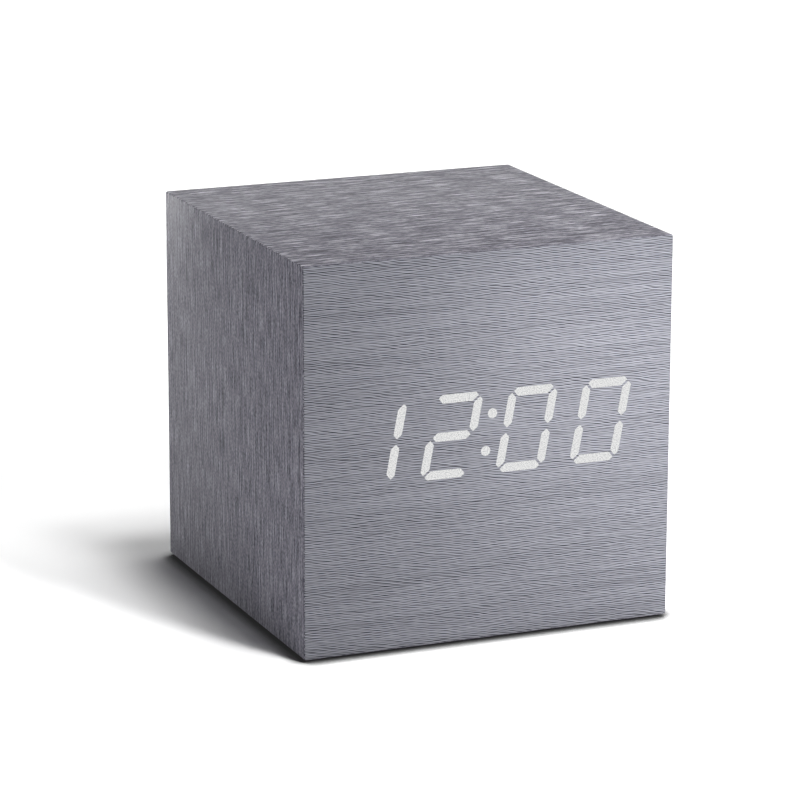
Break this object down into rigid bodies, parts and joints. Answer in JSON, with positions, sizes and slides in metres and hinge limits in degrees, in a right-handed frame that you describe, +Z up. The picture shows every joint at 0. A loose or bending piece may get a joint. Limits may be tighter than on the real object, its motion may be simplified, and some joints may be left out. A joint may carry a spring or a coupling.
{
  "type": "digital alarm clock",
  "caption": "Cube-shaped digital alarm clock in brushed grey film: seven-segment display behind the front, keys, power inlet and battery door in the back.",
  "frame": {"origin": "on the ground under the middle of the case", "axes": "+Z up, -Y out of the display, +X to the right seen from the front"},
  "size_m": [0.068, 0.068, 0.0685],
  "materials": {
    "film_brushed": "brushed grey film",
    "film_brushed_front": "brushed grey film",
    "fibreboard": "raw medium-density fibreboard",
    "abs_black": "finely textured moulding",
    "nylon_white": "moulded nylon",
    "diffuser_white": "matt translucent sheet",
    "circuit_green": "solder resist on glass epoxy",
    "steel_plated": "nickel-plated steel",
    "brass_pin": "turned brass",
    "pad_foam": "dense black foam",
    "cell_jacket": "printed metal jacket, plain",
    "wire_red": "insulated wire",
    "wire_black": "insulated wire",
    "ribbon_grey": "insulated ribbon"
  },
  "bodies": {
    "case": {"top_board": "fibreboard", "bottom_board": "fibreboard", "left_board": "fibreboard", "right_board": "fibreboard", "front_board": "fibreboard", "corner_block_left": "fibreboard", "corner_block_right": "fibreboard", "wrap_film": "film_brushed", "rear_rim_film": "film_brushed", "front_film": "film_brushed_front", "foot_1": "pad_foam", "foot_2": "pad_foam", "foot_3": "pad_foam", "foot_4": "pad_foam", "diffuser_sheet": "diffuser_white", "reflector": "abs_black", "microcontroller": "abs_black", "buzzer": "abs_black", "rear_cover": "abs_black", "dc_jack": "abs_black", "display_board": "circuit_green", "control_board": "circuit_green", "display_screw_1": "steel_plated", "display_screw_2": "steel_plated", "display_screw_3": "steel_plated", "display_screw_4": "steel_plated", "control_screw_1": "steel_plated", "control_screw_2": "steel_plated", "cover_screw_1": "steel_plated", "cover_screw_2": "steel_plated", "crystal": "steel_plated", "set_switch": "steel_plated", "down_switch": "steel_plated", "up_switch": "steel_plated", "slide_switch": "steel_plated", "plate_terminal": "steel_plated", "spring_terminal": "steel_plated", "link_contact_1": "steel_plated", "link_contact_2": "steel_plated", "link_contact_3": "steel_plated", "capacitor": "cell_jacket", "cell_1": "cell_jacket", "cell_2": "cell_jacket", "cell_3": "cell_jacket", "cell_4": "cell_jacket", "display_socket": "nylon_white", "control_socket": "nylon_white", "ribbon_cable": "ribbon_grey", "battery_wire_red": "wire_red", "battery_wire_black": "wire_black", "dc_pin": "brass_pin"},
    "set_key": {"set_button": "abs_black", "set_stem": "abs_black"},
    "down_key": {"down_button": "abs_black", "down_stem": "abs_black"},
    "up_key": {"up_button": "abs_black", "up_stem": "abs_black"},
    "knob": {"switch_knob": "abs_black"},
    "door": {"battery_door": "abs_black"}
  },
  "joints": [
    {"name": "set_press", "type": "slide", "parent": "case", "child": "set_key", "axis": [0, -1, 0], "range_m": [0, 0.0005], "stiffness_N_per_m": 600, "springref_m": -0.0005},
    {"name": "down_press", "type": "slide", "parent": "case", "child": "down_key", "axis": [0, -1, 0], "range_m": [0, 0.0005], "stiffness_N_per_m": 600, "springref_m": -0.0005},
    {"name": "up_press", "type": "slide", "parent": "case", "child": "up_key", "axis": [0, -1, 0], "range_m": [0, 0.0005], "stiffness_N_per_m": 600, "springref_m": -0.0005},
    {"name": "switch_slide", "type": "slide", "parent": "case", "child": "knob", "axis": [1, 0, 0], "range_m": [0, 0.002]},
    {"name": "door_hinge", "type": "hinge", "parent": "case", "child": "door", "pos_m": [0, 0.033, 0.00725], "axis": [-1, 0, 0], "range_deg": [0, 85]}
  ]
}
